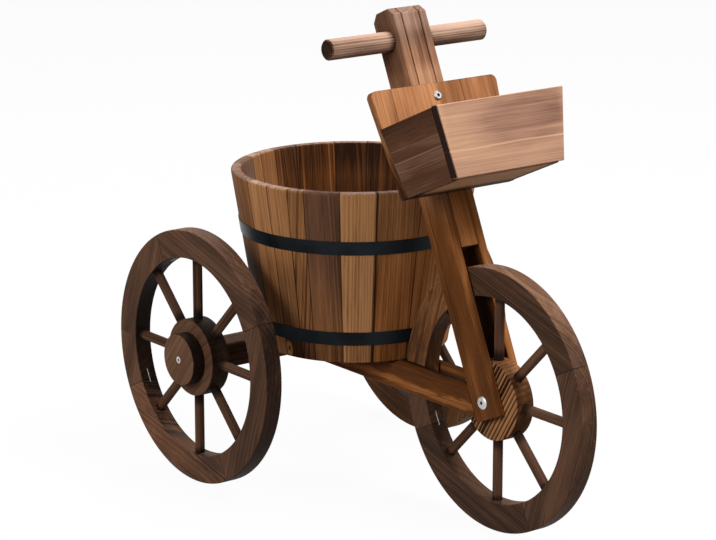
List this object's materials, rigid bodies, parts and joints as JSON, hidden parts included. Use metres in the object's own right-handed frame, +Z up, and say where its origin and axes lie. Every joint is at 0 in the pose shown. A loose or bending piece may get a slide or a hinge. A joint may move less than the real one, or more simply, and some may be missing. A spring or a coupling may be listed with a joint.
{
  "type": "tricycle plant stand",
  "caption": "Wooden planter shaped like a tricycle: a round staved tub with steel hoops, a flared front basket on a raked fork with a handlebar, and spoked wheels that turn.",
  "frame": {"origin": "on the ground below the middle of the wheelbase, in the plane of symmetry", "axes": "+X forward towards the front wheel, +Y to the rider's left along the rear axle, +Z up"},
  "size_m": [0.686, 0.416, 0.6034],
  "materials": {
    "wheel_wood": "carbonised, oiled",
    "frame_wood": "carbonised, oiled",
    "basket_wood": "carbonised, oiled",
    "tub_wood": "carbonised, oiled",
    "hoop_steel": "satin black",
    "zinc_steel": "zinc plated"
  },
  "bodies": {
    "frame": {"rear_beam": "frame_wood", "right_rail": "frame_wood", "left_rail": "frame_wood", "rail_dowels": "frame_wood", "right_leg": "frame_wood", "left_leg": "frame_wood", "fork_spacer": "frame_wood", "handlebar": "frame_wood", "right_cap": "frame_wood", "left_cap": "frame_wood", "basket_back": "basket_wood", "basket_front": "basket_wood", "basket_right_side": "basket_wood", "basket_left_side": "basket_wood", "basket_bottom": "basket_wood", "stave_01": "tub_wood", "stave_02": "tub_wood", "stave_03": "tub_wood", "stave_04": "tub_wood", "stave_05": "tub_wood", "stave_06": "tub_wood", "stave_07": "tub_wood", "stave_08": "tub_wood", "stave_09": "tub_wood", "stave_10": "tub_wood", "stave_11": "tub_wood", "stave_12": "tub_wood", "stave_13": "tub_wood", "stave_14": "tub_wood", "stave_15": "tub_wood", "stave_16": "tub_wood", "stave_17": "tub_wood", "stave_18": "tub_wood", "stave_19": "tub_wood", "stave_20": "tub_wood", "stave_21": "tub_wood", "stave_22": "tub_wood", "stave_23": "tub_wood", "stave_24": "tub_wood", "tub_bottom": "tub_wood", "lower_hoop": "hoop_steel", "upper_hoop": "hoop_steel", "cap_screws": "zinc_steel", "rail_screws": "zinc_steel", "tub_screws": "zinc_steel", "basket_screws": "zinc_steel", "front_axle_bolt": "zinc_steel", "front_axle_nut": "zinc_steel"},
    "front_wheel": {"front_wheel_felloes": "wheel_wood", "front_wheel_spokes": "wheel_wood", "front_wheel_hub": "wheel_wood"},
    "right_wheel": {"right_wheel_felloes": "wheel_wood", "right_wheel_spokes": "wheel_wood", "right_wheel_hub": "wheel_wood"},
    "left_wheel": {"left_wheel_felloes": "wheel_wood", "left_wheel_spokes": "wheel_wood", "left_wheel_hub": "wheel_wood"}
  },
  "joints": [
    {"name": "front_wheel_spin", "type": "hinge", "parent": "frame", "child": "front_wheel", "pos_m": [0.183, 0, 0.16], "axis": [0, 1, 0], "continuous": true},
    {"name": "right_wheel_spin", "type": "hinge", "parent": "frame", "child": "right_wheel", "pos_m": [-0.183, -0.1775, 0.16], "axis": [0, 1, 0], "continuous": true},
    {"name": "left_wheel_spin", "type": "hinge", "parent": "frame", "child": "left_wheel", "pos_m": [-0.183, 0.1775, 0.16], "axis": [0, 1, 0], "continuous": true}
  ]
}
